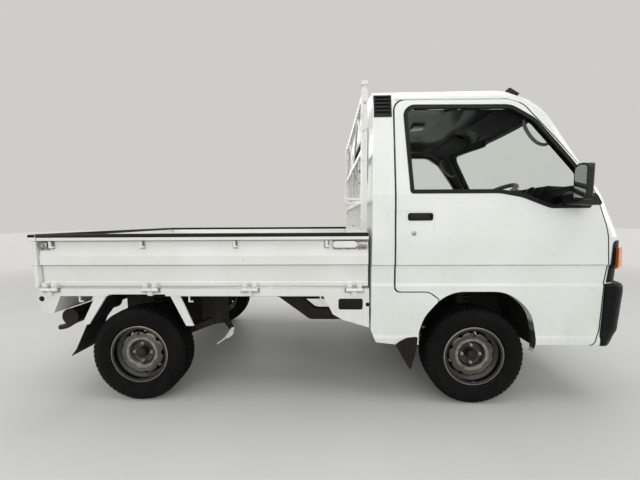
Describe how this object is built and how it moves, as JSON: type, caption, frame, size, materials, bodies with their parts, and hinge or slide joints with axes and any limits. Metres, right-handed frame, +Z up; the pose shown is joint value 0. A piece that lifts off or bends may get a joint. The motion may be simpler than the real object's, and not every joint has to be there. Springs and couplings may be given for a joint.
{
  "type": "kei truck",
  "caption": "Small cab-over pickup truck with drop-down side gates and tailgate, a guard frame behind the cab, opening doors, steered front wheels and rolling wheels.",
  "frame": {"origin": "on the ground under the middle of the bounding box", "axes": "+X towards the front of the truck, +Y to its left, +Z up"},
  "size_m": [3.2949, 1.727, 1.774],
  "materials": {
    "body_paint": "white enamel, lightly aged",
    "bed_paint": "white enamel with scuffs",
    "guard_paint": "white enamel on tube, rust at the joints",
    "chassis_paint": "black chassis paint",
    "floor_paint": "dark underseal and mat",
    "bumper_plastic": "grained charcoal",
    "trim_plastic": "black",
    "interior_plastic": "charcoal, grained",
    "wheel_plastic": "beige grey",
    "seal_rubber": "black",
    "flap_rubber": "black",
    "seat_cloth": "charcoal vinyl cloth",
    "window_glass": "clear with a slight green",
    "lamp_glass": "fluted clear",
    "indicator_lens": "orange",
    "tail_lens": "red",
    "tyre_rubber": "black",
    "wheel_steel": "dark silver brown",
    "cast_parts": "dark, oily",
    "muffler_steel": "heat-darkened"
  },
  "bodies": {
    "root": {"frame_rails": "chassis_paint", "cab_shell": "body_paint", "cab_floor": "floor_paint", "cab_glass": "window_glass", "screen_seals": "seal_rubber", "dashboard": "interior_plastic", "seats": "seat_cloth", "steering_column": "interior_plastic", "cab_fittings": "interior_plastic", "front_bumper": "bumper_plastic", "front_garnish": "bumper_plastic", "headlamps": "lamp_glass", "indicators": "indicator_lens", "wipers": "trim_plastic", "cab_trim": "trim_plastic", "bed_deck": "bed_paint", "headboard": "bed_paint", "guard_frame": "guard_paint", "guard_lattice": "guard_paint", "skirt_panels": "bed_paint", "rear_panels": "bed_paint", "cross_members": "chassis_paint", "rear_lamps": "tail_lens", "mudguards": "flap_rubber", "fuel_tank": "chassis_paint", "engine": "cast_parts", "muffler": "muffler_steel", "front_suspension": "chassis_paint", "rear_suspension": "chassis_paint"},
    "door_right": {"door_right": "body_paint", "handle_right": "trim_plastic", "door_glass_right": "window_glass", "window_seal_right": "seal_rubber", "mirror_right": "trim_plastic"},
    "door_left": {"door_left": "body_paint", "handle_left": "trim_plastic", "door_glass_left": "window_glass", "window_seal_left": "seal_rubber", "mirror_left": "trim_plastic"},
    "side_gate_right": {"side_gate_right": "bed_paint"},
    "side_gate_left": {"side_gate_left": "bed_paint"},
    "tailgate": {"tailgate": "bed_paint"},
    "knuckle_right": {"knuckle_right": "cast_parts"},
    "knuckle_left": {"knuckle_left": "cast_parts"},
    "track_rod": {"track_rod": "chassis_paint"},
    "steering_wheel": {"steering_wheel": "wheel_plastic"},
    "wheel_front_right": {"tyre_front_right": "tyre_rubber", "rim_front_right": "wheel_steel"},
    "wheel_front_left": {"tyre_front_left": "tyre_rubber", "rim_front_left": "wheel_steel"},
    "wheel_rear_right": {"tyre_rear_right": "tyre_rubber", "rim_rear_right": "wheel_steel"},
    "wheel_rear_left": {"tyre_rear_left": "tyre_rubber", "rim_rear_left": "wheel_steel"}
  },
  "joints": [
    {"name": "door_right_hinge", "type": "hinge", "parent": "root", "child": "door_right", "pos_m": [1.452, -0.69, 0.8], "axis": [0, 0, 1], "range_deg": [0, 65]},
    {"name": "door_left_hinge", "type": "hinge", "parent": "root", "child": "door_left", "pos_m": [1.452, 0.69, 0.8], "axis": [0, 0, -1], "range_deg": [0, 65]},
    {"name": "side_gate_right_hinge", "type": "hinge", "parent": "root", "child": "side_gate_right", "pos_m": [0, -0.69, 0.651], "axis": [1, 0, 0], "range_deg": [0, 170]},
    {"name": "side_gate_left_hinge", "type": "hinge", "parent": "root", "child": "side_gate_left", "pos_m": [0, 0.69, 0.651], "axis": [-1, 0, 0], "range_deg": [0, 170]},
    {"name": "tailgate_hinge", "type": "hinge", "parent": "root", "child": "tailgate", "pos_m": [-1.64, 0, 0.651], "axis": [0, -1, 0], "range_deg": [0, 170]},
    {"name": "steering", "type": "hinge", "parent": "root", "child": "knuckle_right", "pos_m": [0.8075, -0.545, 0.19], "axis": [0, 0.2004, 0.9797], "range_deg": [-35, 35]},
    {"name": "steering_left", "type": "hinge", "parent": "root", "child": "knuckle_left", "pos_m": [0.8075, 0.545, 0.19], "axis": [0, -0.2004, 0.9797], "range_deg": [-35, 35]},
    {"name": "track_rod_slide", "type": "slide", "parent": "root", "child": "track_rod", "axis": [0, 1, 0], "range_m": [-0.07, 0.07]},
    {"name": "steering_wheel_turn", "type": "hinge", "parent": "root", "child": "steering_wheel", "pos_m": [1.03, -0.33, 1.157], "axis": [-0.5, 0, 0.866], "range_deg": [-560, 560]},
    {"name": "wheel_front_right_spin", "type": "hinge", "parent": "knuckle_right", "child": "wheel_front_right", "pos_m": [0.8075, -0.605, 0.27], "axis": [0, 1, 0], "continuous": true},
    {"name": "wheel_rear_right_spin", "type": "hinge", "parent": "root", "child": "wheel_rear_right", "pos_m": [-1.0775, -0.605, 0.27], "axis": [0, 1, 0], "continuous": true},
    {"name": "wheel_front_left_spin", "type": "hinge", "parent": "knuckle_left", "child": "wheel_front_left", "pos_m": [0.8075, 0.605, 0.27], "axis": [0, 1, 0], "continuous": true},
    {"name": "wheel_rear_left_spin", "type": "hinge", "parent": "root", "child": "wheel_rear_left", "pos_m": [-1.0775, 0.605, 0.27], "axis": [0, 1, 0], "continuous": true}
  ],
  "couplings": [
    {"joint": "steering_left", "follows": "steering", "ratio": 1},
    {"joint": "track_rod_slide", "follows": "steering", "m_per_rad": -0.108},
    {"joint": "steering_wheel_turn", "follows": "steering", "ratio": 15.5}
  ]
}
